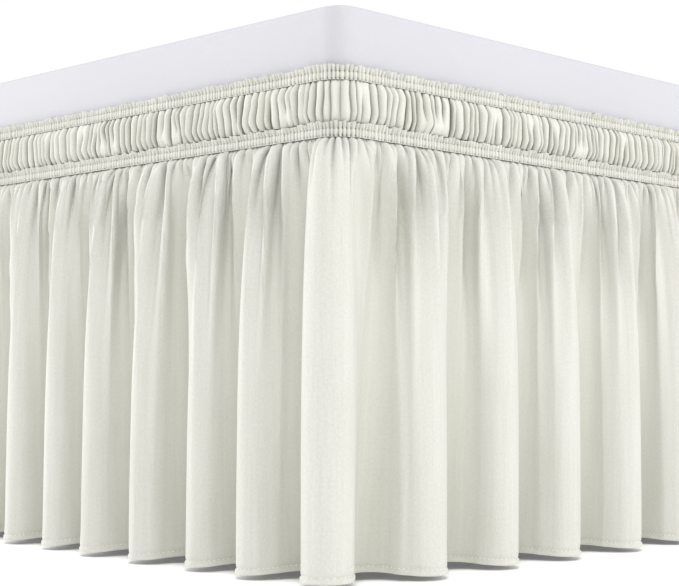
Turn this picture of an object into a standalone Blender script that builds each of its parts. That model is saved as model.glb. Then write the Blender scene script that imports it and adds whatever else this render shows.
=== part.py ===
"""A bed skirt: gathered cloth on two elastic bands, stretched round a box spring that stands on legs.

Metres, +Z up. The origin is on the floor under the middle of the bed. The foot of the bed faces -Y and
the head +Y. The near corner is the one at -X and -Y. Positions round the bed run anticlockwise, seen from
above, on a guide line that starts where the foot side leaves the near corner.
"""

import math
from collections import namedtuple

import bmesh
import bpy

# The bed that the skirt goes round: a single box spring on six legs.
BED_WIDTH = 0.990
BED_LENGTH = 1.905
BOX_TOP = 0.462
BOX_HEIGHT = 0.230
BOX_CORNER = 0.022  # plan radius of the box's upright corners
CORNER_STEPS = 4  # straight steps that such a corner is drawn with
BOX_EDGE = 0.006  # rounding of its top and bottom edges
EDGE_STEPS = 2
EDGE_ANGLE = math.radians(60)  # edges sharper than this are rounded
LEG_INSET = 0.085  # from the box's sides to a leg's axis
LEG_TOP_RADIUS = 0.030
LEG_FOOT_RADIUS = 0.021
LEG_SIDES = 20

# The skirt, from its top edge down to the floor.
SKIRT_TOP = 0.412
BAND_HEIGHT = 0.012
HEADING_HEIGHT = 0.034
HEM_CLEAR = 0.004  # from the floor to the lowest point of the hem
GAP = 0.0003  # between pieces that touch

# Cloth and elastic.
CLOTH_THICK = 0.0016
BAND_THICK = 0.0034
BAND_FACE = 0.0042  # from the box's side to the band's outer face
HEADING_PINCH = 0.0032  # the same for the heading where a band draws it in
HEADING_PUFF = 0.0074  # and halfway between the bands
HEADING_STEPS = 6

# The drop's folds. A fold is one wave of the cloth: out over a crest, in to a valley, and out again.
VALLEY_CLEAR = 0.0042  # from the box's side to the outer face of a valley
HEM_TUCK = 0.0110  # how far a valley swings in under the bed by the hem
TUCK_CURVE = 1.5  # power of the height below the box that the swing follows
HEM_LIFT = 0.0030  # how much higher the hem is in a valley than on a crest
LIFT_CURVE = 6  # power of the share of the drop that the lift follows, so it shows only near the hem
DEPTH_SHARE = 0.32  # a fold's depth as a share of the crests' spacing
FOLD_SLOPE = math.radians(74)  # steepest slope of a fold's flank, which sets its fullness
QUICK_SHARE = 0.62  # of a fold's depth that opens within QUICK_REACH, a share of the drop
QUICK_REACH = 0.06
SLOW_SHARE = 0.35  # and of what opens within SLOW_REACH
SLOW_REACH = 0.35
LEAN = 0.014  # how far the gathers at the band sit from the crests that they feed, beside a corner
GUIDE_OFFSET = 0.020  # from the box's side to the guide line
USUAL_SPACING = 0.094  # between crests, where the folds aren't placed one by one
UNEVEN = 0.16  # how much the widths of those folds differ, as a share
FOLD_POINTS = 8
VALLEY_POINT = FOLD_POINTS // 2
WAVE_STEPS = 40  # steps between two points of a fold, when its curve is worked out
DROP_ROWS = (0.0, 0.025, 0.07, 0.16, 0.36, 0.66, 1.0)  # shares of the drop's height
SEAM_GAP = 0.0006

# The folds nearest the near corner: each crest's distance from the box's corner, and the fold's depth.
Fold = namedtuple("Fold", "crest depth")
FOOT_FOLDS = (
    Fold(0.080, 0.032),
    Fold(0.176, 0.030),
    Fold(0.265, 0.029),
    Fold(0.361, 0.030),
    Fold(0.449, 0.029),
)
LEFT_FOLDS = (
    Fold(0.078, 0.030),
    Fold(0.143, 0.028),
    Fold(0.217, 0.032),
    Fold(0.290, 0.031),
    Fold(0.356, 0.027),
    Fold(0.421, 0.026),
)
NEAR_CORNER_FOLD = Fold(0.011, 0.034)  # set back from the corner's middle, towards the left side
FAR_CORNER_DEPTH = 0.033

CLOTH_IVORY = (0.74, 0.74, 0.66)
ELASTIC_IVORY = (0.70, 0.70, 0.61)
COVER_WHITE = (0.80, 0.79, 0.83)
LEG_WOOD = (0.30, 0.19, 0.11)
CLOTH_ROUGHNESS = 0.9
WOOD_ROUGHNESS = 0.45

BOX_BOTTOM = BOX_TOP - BOX_HEIGHT
UPPER_BAND_BOTTOM = SKIRT_TOP - BAND_HEIGHT
LOWER_BAND_TOP = UPPER_BAND_BOTTOM - HEADING_HEIGHT
LOWER_BAND_BOTTOM = LOWER_BAND_TOP - BAND_HEIGHT
DROP_TOP = LOWER_BAND_BOTTOM - GAP
DROP_HEIGHT = DROP_TOP - HEM_CLEAR

# The guide line: the box's outline in plan, moved out by GUIDE_OFFSET.
QUARTER = math.pi / 2
CORNER_ARC = QUARTER * (BOX_CORNER + GUIDE_OFFSET)
STRAIGHTS = (
    BED_WIDTH - 2 * BOX_CORNER,
    BED_LENGTH - 2 * BOX_CORNER,
    BED_WIDTH - 2 * BOX_CORNER,
    BED_LENGTH - 2 * BOX_CORNER,
)
GUIDE_LENGTH = sum(STRAIGHTS) + 4 * CORNER_ARC
SIDE_NAMES = ("foot", "right", "head", "left")
CORNER_CENTRES = tuple(
    (turn_x * (BED_WIDTH / 2 - BOX_CORNER), turn_y * (BED_LENGTH / 2 - BOX_CORNER))
    for turn_x, turn_y in ((-1, -1), (1, -1), (1, 1), (-1, 1))
)


def corner_middles():
    """Guide positions of the middles of the four corners, in order from the near corner."""
    middles = [-CORNER_ARC / 2]
    for straight in STRAIGHTS[:3]:
        middles.append(middles[-1] + straight + CORNER_ARC)
    return middles


def plan_point(position, offset):
    """The point this far outside the box's side, at a position on the guide line."""
    position %= GUIDE_LENGTH
    reach = BOX_CORNER + offset
    for side, straight in enumerate(STRAIGHTS):
        facing = (side - 1) * QUARTER
        if position <= straight:
            centre_x, centre_y = CORNER_CENTRES[side]
            x = centre_x + reach * math.cos(facing) - position * math.sin(facing)
            y = centre_y + reach * math.sin(facing) + position * math.cos(facing)
            return x, y
        position -= straight
        if position <= CORNER_ARC:
            break
        position -= CORNER_ARC
    centre_x, centre_y = CORNER_CENTRES[(side + 1) % 4]
    facing += QUARTER * position / CORNER_ARC
    return centre_x + reach * math.cos(facing), centre_y + reach * math.sin(facing)


def fold_wave():
    """One fold in plan, from crest to crest, as (share of the spacing, rise from 0 in the valley to 1).

    It is the curve that a thin strip takes when it is pushed together: its direction swings as a sine.
    """
    steps = WAVE_STEPS * FOLD_POINTS
    along, out = [0.0], [0.0]
    for step in range(steps):
        slope = -FOLD_SLOPE * math.sin(2 * math.pi * (step + 0.5) / steps)
        along.append(along[-1] + math.cos(slope))
        out.append(out[-1] + math.sin(slope))
    deep = min(out)
    kept = range(0, steps, WAVE_STEPS)
    return [(along[step] / along[-1], 1 - out[step] / deep) for step in kept]


def uneven_positions(start, end):
    """Crest positions between two fixed crests, near the usual spacing but not even."""
    count = max(2, round((end - start) / USUAL_SPACING))
    swings = [math.sin(2.4 * k) + math.sin(5.1 * k + start) / 2 for k in range(count)]
    widths = [1 + UNEVEN * swing for swing in swings]
    total = sum(widths)
    return [start + (end - start) * sum(widths[:k]) / total for k in range(1, count)]


def all_folds():
    """Every fold's crest and depth, as (guide position, depth), for one lap from the near corner."""
    near, *far_corners = corner_middles()
    left_end = GUIDE_LENGTH - CORNER_ARC + BOX_CORNER
    depths = {near - NEAR_CORNER_FOLD.crest: NEAR_CORNER_FOLD.depth}
    depths.update({fold.crest - BOX_CORNER: fold.depth for fold in FOOT_FOLDS})
    depths.update({corner: FAR_CORNER_DEPTH for corner in far_corners})
    depths.update({left_end - fold.crest: fold.depth for fold in LEFT_FOLDS})
    ends = [FOOT_FOLDS[-1].crest - BOX_CORNER, *far_corners, left_end - LEFT_FOLDS[-1].crest]
    between = [p for start, end in zip(ends, ends[1:]) for p in uneven_positions(start, end)]
    crests = sorted([*depths, *between])
    ring = [crests[-1] - GUIDE_LENGTH, *crests, crests[0] + GUIDE_LENGTH]
    folds = []
    for before, crest, after in zip(ring, ring[1:], ring[2:]):
        folds.append((crest, depths.get(crest, DEPTH_SHARE * (after - before) / 2)))
    return folds


def opened(share_down):
    """How far the folds have opened at this share of the drop, from almost 0 at the band to 1."""
    quick = QUICK_SHARE * math.exp(-share_down / QUICK_REACH)
    return 1 - quick - SLOW_SHARE * math.exp(-share_down / SLOW_REACH)


def lean_at(position):
    """How far along the band the gathers sit from the crests that they feed: away from the nearer corner."""
    middles = corner_middles()
    ring = [middles[-1] - GUIDE_LENGTH, *middles, middles[0] + GUIDE_LENGTH]
    start = max(middle for middle in ring if middle <= position)
    end = min((middle for middle in ring if middle > position), default=start + GUIDE_LENGTH)
    share = (position - start) / (end - start)
    beside = min(1.0, (position - start) / CORNER_ARC, (end - position) / CORNER_ARC)
    return LEAN * beside * math.cos(math.pi * share)


def drop_point(crest, next_crest, wave_point, share_down):
    """A point of the drop's outer face, in the fold between two crests, at this share of its height."""
    along, rise = wave_point
    position = crest[0] + (next_crest[0] - crest[0]) * along
    depth = crest[1] if along < 0.5 else next_crest[1]
    growth = opened(share_down)
    z = DROP_TOP - share_down * DROP_HEIGHT
    under_box = max(0.0, (BOX_BOTTOM - z) / (BOX_BOTTOM - HEM_CLEAR))
    tuck = HEM_TUCK * under_box**TUCK_CURVE * (1 - rise)
    offset = VALLEY_CLEAR - tuck + depth * rise * growth
    x, y = plan_point(position + lean_at(position) * (1 - growth), offset)
    return x, y, z + HEM_LIFT * (1 - rise) * share_down**LIFT_CURVE


def new_object(name, mesh, colour, roughness=CLOTH_ROUGHNESS):
    """A scene object for one piece, with its own material."""
    material = bpy.data.materials.new(name)
    material.use_nodes = True
    shader = material.node_tree.nodes["Principled BSDF"]
    shader.inputs["Base Color"].default_value = (*colour, 1.0)
    shader.inputs["Roughness"].default_value = roughness
    mesh.materials.append(material)
    piece = bpy.data.objects.new(name, mesh)
    bpy.context.scene.collection.objects.link(piece)
    return piece


def hung_sheet(name, rows, closed, thickness, colour):
    """Cloth that hangs through rows of points from its top edge down, with its thickness on the inner side."""
    bm = bmesh.new()
    grid = [[bm.verts.new(point) for point in row] for row in rows]
    for upper, lower in zip(grid, grid[1:]):
        for here in range(len(upper) if closed else len(upper) - 1):
            after = (here + 1) % len(upper)
            bm.faces.new((upper[here], lower[here], lower[after], upper[after]))
    # Both faces of the sheet get the same triangles, so they stay parallel where a fold twists.
    bmesh.ops.triangulate(bm, faces=bm.faces[:], quad_method="SHORT_EDGE")
    mesh = bpy.data.meshes.new(name)
    bm.to_mesh(mesh)
    bm.free()
    mesh.shade_smooth()
    sheet = new_object(name, mesh, colour)
    solidify = sheet.modifiers.new("thickness", "SOLIDIFY")
    solidify.thickness = thickness
    solidify.offset = -1.0


def outline(offset):
    """Points round the box at this offset: an arc of a few at each corner."""
    points = []
    for middle in corner_middles():
        for step in range(CORNER_STEPS + 1):
            points.append(plan_point(middle + CORNER_ARC * (step / CORNER_STEPS - 0.5), offset))
    return points


def make_box_spring():
    """The plain covered box that carries the skirt."""
    bm = bmesh.new()
    face = bm.faces.new([bm.verts.new((x, y, BOX_BOTTOM)) for x, y in outline(0.0)])
    raised = bmesh.ops.extrude_face_region(bm, geom=[face])["geom"]
    for vert in (item for item in raised if isinstance(item, bmesh.types.BMVert)):
        vert.co.z = BOX_TOP
    bmesh.ops.recalc_face_normals(bm, faces=bm.faces[:])
    mesh = bpy.data.meshes.new("box_spring")
    bm.to_mesh(mesh)
    bm.free()
    box = new_object("box_spring", mesh, COVER_WHITE)
    bevel = box.modifiers.new("soft edges", "BEVEL")
    bevel.width = BOX_EDGE
    bevel.segments = EDGE_STEPS
    bevel.limit_method = "ANGLE"
    bevel.angle_limit = EDGE_ANGLE


def make_legs():
    """Six round legs, narrower at the floor, under the corners and the middle of the long sides."""
    height = BOX_BOTTOM - GAP
    for row, y in (("foot", -1), ("middle", 0), ("head", 1)):
        for side, x in (("left", -1), ("right", 1)):
            bm = bmesh.new()
            bmesh.ops.create_cone(bm, cap_ends=True, segments=LEG_SIDES, radius1=LEG_FOOT_RADIUS,
                                  radius2=LEG_TOP_RADIUS, depth=height)
            name = f"leg_{row}_{side}"
            mesh = bpy.data.meshes.new(name)
            bm.to_mesh(mesh)
            bm.free()
            leg = new_object(name, mesh, LEG_WOOD, WOOD_ROUGHNESS)
            leg.location.x = x * (BED_WIDTH / 2 - LEG_INSET)
            leg.location.y = y * (BED_LENGTH / 2 - LEG_INSET)
            leg.location.z = height / 2


def make_band(name, bottom):
    """An elastic band: a flat strip that grips the box all the way round."""
    ring = outline(BAND_FACE)
    rows = [[(x, y, z) for x, y in ring] for z in (bottom + BAND_HEIGHT, bottom)]
    hung_sheet(name, rows, True, BAND_THICK, ELASTIC_IVORY)


def make_heading():
    """The strip of cloth between the bands, drawn in by both and puffed out between them."""
    top, bottom = UPPER_BAND_BOTTOM - GAP, LOWER_BAND_TOP + GAP
    rows = []
    for step in range(HEADING_STEPS + 1):
        share = step / HEADING_STEPS
        face = HEADING_PINCH + (HEADING_PUFF - HEADING_PINCH) * math.sin(math.pi * share)
        rows.append([(x, y, top + (bottom - top) * share) for x, y in outline(face)])
    hung_sheet("heading", rows, True, CLOTH_THICK, CLOTH_IVORY)


def make_drop():
    """The four panels of the drop. Each starts in the valley before a corner and goes round that corner."""
    folds = all_folds()
    wave = fold_wave()
    last_crest, last_depth = folds[-1]
    first_crest, first_depth = folds[0]
    lap_before, lap_after = last_crest - GUIDE_LENGTH, first_crest + GUIDE_LENGTH
    crests = [(lap_before, last_depth), *folds, (lap_after, first_depth)]
    firsts = [nearest_crest(crests, middle) for middle in corner_middles()]
    for name, first, last in zip(SIDE_NAMES, firsts, [*firsts[1:], len(crests) - 1]):
        rows = []
        for share_down in DROP_ROWS:
            row = []
            for step in range(first * FOLD_POINTS - VALLEY_POINT, last * FOLD_POINTS - VALLEY_POINT + 1):
                fold, point = divmod(step, FOLD_POINTS)
                row.append(drop_point(crests[fold], crests[fold + 1], wave[point], share_down))
            rows.append([pulled_in(row[0], row[1]), *row[1:-1], pulled_in(row[-1], row[-2])])
        hung_sheet(f"drop_{name}", rows, False, CLOTH_THICK, CLOTH_IVORY)


def nearest_crest(crests, position):
    """The index of the crest nearest to a guide position."""
    distances = [abs(crest - position) for crest, _ in crests]
    return distances.index(min(distances))


def pulled_in(end, inner):
    """A panel's end point, moved towards its neighbour by half of the gap at a seam."""
    share = 0.5 * SEAM_GAP / math.dist(end[:2], inner[:2])
    return tuple(a + (b - a) * share for a, b in zip(end, inner))


def clear_scene():
    """An empty scene."""
    for thing in list(bpy.data.objects):
        bpy.data.objects.remove(thing, do_unlink=True)


def main():
    clear_scene()
    make_box_spring()
    make_legs()
    make_band("upper_band", UPPER_BAND_BOTTOM)
    make_heading()
    make_band("lower_band", LOWER_BAND_BOTTOM)
    make_drop()


main()
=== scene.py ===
# %% [markdown]
# # A bed skirt on its box spring
# The bed skirt is one long strip of gathered ivory cloth. Two elastic bands hold it round a plain white box
# spring, a ruched heading puffs out between them, and the drop hangs from the lower band almost to the
# floor. The plain solids of the part are loaded first. They say where everything is, and each finished
# piece below is built in the place of one of them.

import math

import bpy
import numpy as np
from mathutils import Matrix, Vector


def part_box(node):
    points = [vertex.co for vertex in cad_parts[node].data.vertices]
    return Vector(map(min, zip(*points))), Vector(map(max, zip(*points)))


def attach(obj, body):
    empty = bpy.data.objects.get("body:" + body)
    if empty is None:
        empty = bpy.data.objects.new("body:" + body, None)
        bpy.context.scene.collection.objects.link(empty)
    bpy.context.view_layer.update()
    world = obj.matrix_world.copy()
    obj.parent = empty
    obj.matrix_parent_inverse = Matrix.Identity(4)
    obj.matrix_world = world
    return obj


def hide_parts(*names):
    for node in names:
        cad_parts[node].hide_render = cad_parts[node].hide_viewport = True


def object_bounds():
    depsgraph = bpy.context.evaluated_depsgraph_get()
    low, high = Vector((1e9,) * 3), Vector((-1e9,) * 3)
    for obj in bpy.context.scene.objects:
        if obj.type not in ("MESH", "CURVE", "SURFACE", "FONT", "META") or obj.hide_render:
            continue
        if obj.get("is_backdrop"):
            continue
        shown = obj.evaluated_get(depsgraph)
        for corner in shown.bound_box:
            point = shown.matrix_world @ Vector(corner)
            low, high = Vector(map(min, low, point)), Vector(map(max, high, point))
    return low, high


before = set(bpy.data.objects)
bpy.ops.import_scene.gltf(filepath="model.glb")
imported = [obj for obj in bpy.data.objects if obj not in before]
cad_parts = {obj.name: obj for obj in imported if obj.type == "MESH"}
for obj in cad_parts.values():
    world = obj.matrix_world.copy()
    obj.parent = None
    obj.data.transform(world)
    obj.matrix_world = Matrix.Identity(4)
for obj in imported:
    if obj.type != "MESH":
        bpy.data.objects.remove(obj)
plain_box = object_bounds()
box_low, box_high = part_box("box_spring")
BED_WIDTH = box_high.x - box_low.x
BED_LENGTH = box_high.y - box_low.y
NEAR_CORNER = Vector((box_low.x, box_low.y, 0))
print(f"box spring {BED_WIDTH:.3f} x {BED_LENGTH:.3f} m, its top {box_high.z:.3f} m above the floor")

# %% [markdown]
# ## Camera
# The picture looks at one corner of the bed from a little more than a metre away, from below the box's top
# edge. A long lens keeps the upright folds parallel. Aiming at a target would be simpler, but the picture
# is also rolled by a hair, so the camera's axes are worked out from its turn, tilt and roll.

# %% Camera
EYE = NEAR_CORNER + Vector((-0.8522, -0.8558, 0.1682))
TURN = 0.787  # from +X towards +Y
TILT = 0.0503  # upwards
ROLL = 0.0035
LENS = 81.33
SENSOR_WIDTH = 36


def camera_axes(turn, tilt, roll):
    """The camera's right, up and backward directions."""
    ahead = Vector((math.cos(turn) * math.cos(tilt), math.sin(turn) * math.cos(tilt), math.sin(tilt)))
    level = Vector((math.sin(turn), -math.cos(turn), 0))
    upright = level.cross(ahead)
    right = level * math.cos(roll) + upright * math.sin(roll)
    return right, right.cross(ahead), -ahead


def add_object(name, data):
    """An object with this mesh, lamp or camera, put into the scene."""
    made = bpy.data.objects.new(name, data)
    bpy.context.scene.collection.objects.link(made)
    return made


camera = add_object("camera", bpy.data.cameras.new("camera"))
camera.data.sensor_width = SENSOR_WIDTH
camera.data.lens = LENS
camera.matrix_world = Matrix.Translation(EYE) @ Matrix(camera_axes(TURN, TILT, ROLL)).transposed().to_4x4()
bpy.context.scene.camera = camera
print("camera at", [round(value, 3) for value in EYE])

# %% [markdown]
# ## Floor and light
# The bed stands on a plain pale floor in an even white room. The floor gives off a little light of its own,
# so that the shadow under the hem stays pale. A large soft lamp hangs high behind the camera. It reaches
# the crests and leaves the valleys and grooves dimmer. Two more stand beyond the far ends of the sides that
# the picture shows. They graze those sides, so that each crest gets a bright edge. The room's own light
# fills the rest. The lamps are set for this one view, and from other sides some of the cloth looks too
# bright.

# %% Floor and light
ROOM_LIGHT = 1.0
FLOOR_GLOW = 0.12
FLOOR_HALF = 12.0  # half its width


def stage_floor():
    """A wide pale floor that glows a little."""
    mesh = bpy.data.meshes.new("floor")
    corners = [(x * FLOOR_HALF, y * FLOOR_HALF, 0) for x, y in ((-1, -1), (1, -1), (1, 1), (-1, 1))]
    mesh.from_pydata(corners, [], [(0, 1, 2, 3)])
    material = bpy.data.materials.new("floor")
    material.use_nodes = True
    surface = material.node_tree.nodes["Principled BSDF"]
    surface.inputs["Base Color"].default_value = (0.86, 0.86, 0.85, 1)
    surface.inputs["Roughness"].default_value = 0.8
    surface.inputs["Emission Color"].default_value = (1, 1, 1, 1)
    surface.inputs["Emission Strength"].default_value = FLOOR_GLOW
    mesh.materials.append(material)
    add_object("floor", mesh)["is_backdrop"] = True


def lamp(name, place, aim, size, power):
    """A square lamp that shines from one place at another."""
    light = bpy.data.lights.new(name, "AREA")
    light.size = size
    light.energy = power
    obj = add_object(name, light)
    obj.location = place
    obj.rotation_euler = (Vector(aim) - Vector(place)).to_track_quat("-Z", "Y").to_euler()


stage_floor()
world = bpy.data.worlds.new("white room")
world.use_nodes = True
world.node_tree.nodes["Background"].inputs["Color"].default_value = (1, 1, 1, 1)
world.node_tree.nodes["Background"].inputs["Strength"].default_value = ROOM_LIGHT
bpy.context.scene.world = world
bpy.context.scene.view_settings.view_transform = "Standard"
AIM = NEAR_CORNER + Vector((0.05, 0.05, 0.2))
lamp("high front", NEAR_CORNER + Vector((-1.56, -1.56, 2.6)), AIM, size=1.4, power=50)
lamp("left edge", NEAR_CORNER + Vector((-1.27, 2.72, 1.0)), AIM, size=1.2, power=54)
lamp("right edge", NEAR_CORNER + Vector((1.93, -2.30, 1.0)), AIM, size=1.2, power=38)
print("room light", ROOM_LIGHT)

# %% [markdown]
# ## Arithmetic for materials
# A material is a graph of nodes. Written by hand it is mostly Math nodes, so a small class wraps a socket
# and lets plain Python arithmetic make them: `1 - mask` adds a Subtract node. One method adds any other
# node.

# %% Arithmetic for materials


class Wire:
    """An output socket that takes part in arithmetic. Each sum adds one Math node."""

    def __init__(self, finish, socket):
        self.finish = finish
        self.socket = socket

    def math(self, operation, *values):
        inputs = dict(enumerate(values))
        return self.finish.node("ShaderNodeMath", {"operation": operation}, inputs)["Value"]

    def __add__(self, other):
        return self.math("ADD", self, other)

    def __mul__(self, other):
        return self.math("MULTIPLY", self, other)

    def __sub__(self, other):
        return self.math("SUBTRACT", self, other)

    def __rsub__(self, other):
        return self.math("SUBTRACT", other, self)

    __radd__ = __add__
    __rmul__ = __mul__


class Finish:
    """A material under construction."""

    def __init__(self, name):
        self.material = bpy.data.materials.new(name)
        self.material.use_nodes = True
        self.tree = self.material.node_tree
        self.surface = self.tree.nodes["Principled BSDF"]

    def node(self, kind, settings=(), inputs=()):
        """Adds a node, sets it, then fills its sockets with values or wires. Returns its outputs by name."""
        made = self.tree.nodes.new(kind)
        for name, value in dict(settings).items():
            setattr(made, name, value)
        for key, value in dict(inputs).items():
            self.fill(self.find(made.inputs, key), value)
        return {socket.identifier: Wire(self, socket) for socket in made.outputs}

    @staticmethod
    def find(sockets, key):
        """The socket with this number, identifier or name."""
        if isinstance(key, int):
            return sockets[key]
        return next(socket for socket in sockets if key in (socket.identifier, socket.name))

    def fill(self, socket, value):
        if isinstance(value, Wire):
            self.tree.links.new(value.socket, socket)
        elif isinstance(value, tuple) and len(value) == 3 and socket.type == "RGBA":
            socket.default_value = (*value, 1)
        else:
            socket.default_value = value

    def put(self, **sockets):
        """Fills sockets of the Principled surface. An underscore stands for a space."""
        for name, value in sockets.items():
            self.fill(self.surface.inputs[name.replace("_", " ")], value)
        return self.material

    def cloth_place(self, across, down):
        """Coordinates on the flat cloth, from its UV map in metres, stretched each way."""
        place = self.node("ShaderNodeUVMap", {"uv_map": "cloth"})["UV"]
        inputs = {0: place, 1: (across, down, 1)}
        return self.node("ShaderNodeVectorMath", {"operation": "MULTIPLY"}, inputs)["Vector"]

    def noise(self, place, scale=1.0, detail=2.0, roughness=0.5):
        inputs = {"Vector": place, "Scale": scale, "Detail": detail, "Roughness": roughness}
        return self.node("ShaderNodeTexNoise", {"noise_dimensions": "3D"}, inputs)["Fac"]

    def blend(self, factor, first, second):
        """A colour between two others."""
        inputs = {"Factor_Float": factor, "A_Color": first, "B_Color": second}
        return self.node("ShaderNodeMix", {"data_type": "RGBA"}, inputs)["Result_Color"]

    def bump(self, height, distance):
        inputs = {"Height": height, "Distance": distance, "Strength": 1.0}
        return self.node("ShaderNodeBump", {}, inputs)["Normal"]


print("materials are written as arithmetic")

# %% [markdown]
# ## The skirt's cloth
# The cloth is a brushed microfibre with a soft, slightly silky face. Close up it shows fine upright slubs,
# threads that are a little thicker or paler for a few centimetres, a short grain and a very fine weave. All
# are noise on the flat cloth, read from a UV map in metres, so they turn with every fold. The slubs' noise
# is stretched upright. They tint the colour and raise a faint bump. Down in a groove the cloth lies in
# shade, where light passes from cloth to cloth and looks warmer and deeper. The renderer finds some of that
# by
# itself. The rest is painted shade: a second UV map, written with the mesh, says how deep each point lies,
# and there the colour is blended towards a darker, greener painted shade colour.

# %% The skirt's cloth


def cloth_finish(name, pale, deep, painted_shade_colour, slub_depth):
    """Ivory cloth with upright slubs, tinted from pale to deep, and darkened in its grooves by painted
    shade.
    """
    finish = Finish(name)
    slubs = finish.noise(finish.cloth_place(900, 28), detail=3.0, roughness=0.6)
    bands = finish.noise(finish.cloth_place(220, 7), detail=2.0)
    clouds = finish.noise(finish.cloth_place(14, 9), detail=2.0)
    grain = finish.noise(finish.cloth_place(700, 420), detail=2.0, roughness=0.7)
    tint = slubs * 0.45 + bands * 0.55 + clouds * 0.5 + grain * 1.2 - 0.85
    # Painted shade: the second UV map says how deep in a groove a point lies, and the colour darkens there.
    hollow = finish.node("ShaderNodeUVMap", {"uv_map": "hollow"})["UV"]
    hollow = finish.node("ShaderNodeSeparateXYZ", {}, {0: hollow})["X"]
    colour = finish.blend(hollow, finish.blend(tint, pale, deep), painted_shade_colour)
    weave = finish.noise(finish.cloth_place(1500, 1500), detail=1.0)
    height = slubs * 0.3 + bands * 0.5 + grain * 0.4 + weave * 0.5
    normal = finish.bump(height, slub_depth)
    finish.put(Base_Color=colour, Roughness=0.62 + slubs * 0.12, Normal=normal)
    finish.put(Sheen_Weight=0.12, Sheen_Roughness=0.45, Specular_IOR_Level=0.25)
    return finish.material


CLOTH = cloth_finish(
    "skirt cloth",
    pale=(0.578, 0.572, 0.544),
    deep=(0.462, 0.464, 0.412),
    # the darker, greener colour that painted shade blends towards in the grooves
    painted_shade_colour=(0.29, 0.297, 0.215),
    slub_depth=0.0004,
)
print("made", CLOTH.name)

# %% [markdown]
# ## Elastic, stitches, cover and legs
# The bands and the heading are the same cloth drawn up tight, so one function makes both finishes. Their
# colours are the drop's painted a little lighter, as painted light on the ribs, and their narrow grooves
# take a much darker painted shade. Sewing thread is plain and pale. The box spring's cover is a smooth cool
# white cotton with a fine weave and no pattern. The legs are stained wood, which nobody sees until the skirt
# is lifted.

# %% Elastic, stitches, cover and legs
# The drop's cloth painted lighter, as painted light on the ribs, with a much darker painted shade in its
# grooves.
BAND_CLOTH = cloth_finish(
    "shirred cloth",
    pale=(0.61, 0.604, 0.568),
    deep=(0.49, 0.495, 0.436),
    painted_shade_colour=(0.14, 0.145, 0.10),
    slub_depth=0.0002,
)


def cover_finish():
    """White cotton with a fine square weave and the faint unevenness of a pulled cover."""
    finish = Finish("cover cotton")
    place = finish.node("ShaderNodeTexCoord")["Object"]
    clouds = finish.noise(place, scale=4.0, detail=3.0)
    weave = finish.noise(place, scale=1400.0, detail=1.0)
    colour = finish.blend(clouds, (0.445, 0.445, 0.475), (0.47, 0.47, 0.495))
    finish.put(Base_Color=colour, Roughness=0.75 + weave * 0.1, Normal=finish.bump(weave, 0.0002))
    return finish.put(Specular_IOR_Level=0.2)


def wood_finish():
    """Stained wood with its grain upright."""
    finish = Finish("leg wood")
    place = finish.node("ShaderNodeTexCoord")["Object"]
    inputs = {0: place, 1: (60, 60, 5)}
    along_grain = finish.node("ShaderNodeVectorMath", {"operation": "MULTIPLY"}, inputs)["Vector"]
    grain = finish.noise(along_grain, detail=4.0, roughness=0.65)
    colour = finish.blend(grain, (0.13, 0.07, 0.035), (0.33, 0.20, 0.11))
    return finish.put(Base_Color=colour, Roughness=0.35 + grain * 0.2, Normal=finish.bump(grain, 0.0004))


def thread_finish():
    """Sewing thread, pale, with a faint fuzz in its colour."""
    finish = Finish("sewing thread")
    place = finish.node("ShaderNodeTexCoord")["Object"]
    fuzz = finish.noise(place, scale=2500.0, detail=1.0)
    colour = finish.blend(fuzz, (0.84, 0.83, 0.77), (0.74, 0.73, 0.65))
    return finish.put(Base_Color=colour, Roughness=0.6 + fuzz * 0.1)


COVER = cover_finish()
WOOD = wood_finish()
THREAD = thread_finish()
print("made", BAND_CLOTH.name, COVER.name, WOOD.name, THREAD.name)

# %% [markdown]
# ## The way round the bed
# Every piece of the skirt goes round the bed, so one function turns a position along the way round, and a
# distance out from the box's side, into a place on the plan. The way is made of four straights and four
# quarter circles. It works on whole arrays of positions at once, which is what keeps a mesh of many
# thousand points quick to make.

# %% The way round the bed
BOX_CORNER = 0.022  # plan radius of the box's upright corners
GUIDE_OFFSET = 0.020  # from the box's side to the line that positions are measured along
QUARTER = math.pi / 2
CORNER_ARC = QUARTER * (BOX_CORNER + GUIDE_OFFSET)
STRAIGHTS = 2 * (BED_WIDTH - 2 * BOX_CORNER, BED_LENGTH - 2 * BOX_CORNER)
GUIDE_LENGTH = sum(STRAIGHTS) + 4 * CORNER_ARC
STARTS = np.cumsum([0] + [length for straight in STRAIGHTS for length in (straight, CORNER_ARC)])[:8]
CORNER_CENTRES = np.array(
    [(x * (BED_WIDTH / 2 - BOX_CORNER), y * (BED_LENGTH / 2 - BOX_CORNER)) for x, y in
     ((-1, -1), (1, -1), (1, 1), (-1, 1))]
)


def on_plan(position, offset):
    """The x and y of points this far outside the box's side, at positions along the way round."""
    position = np.mod(position, GUIDE_LENGTH)
    stretch = np.searchsorted(STARTS, position, side="right") - 1
    past = position - STARTS[stretch]
    side = stretch // 2
    on_corner = stretch % 2
    straight_facing = (side - 1) * QUARTER
    facing = straight_facing + on_corner * QUARTER * past / CORNER_ARC
    centre = CORNER_CENTRES[(side + on_corner) % 4]
    reach = BOX_CORNER + offset
    run = past * (1 - on_corner)
    x = centre[..., 0] + reach * np.cos(facing) - run * np.sin(straight_facing)
    y = centre[..., 1] + reach * np.sin(facing) + run * np.cos(straight_facing)
    return x, y


def corner_middles():
    """Positions of the middles of the four corners, in order from the near corner."""
    middles = [-CORNER_ARC / 2]
    for straight in STRAIGHTS[:3]:
        middles.append(middles[-1] + straight + CORNER_ARC)
    return middles


print(f"{GUIDE_LENGTH:.3f} m round the bed")

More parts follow.
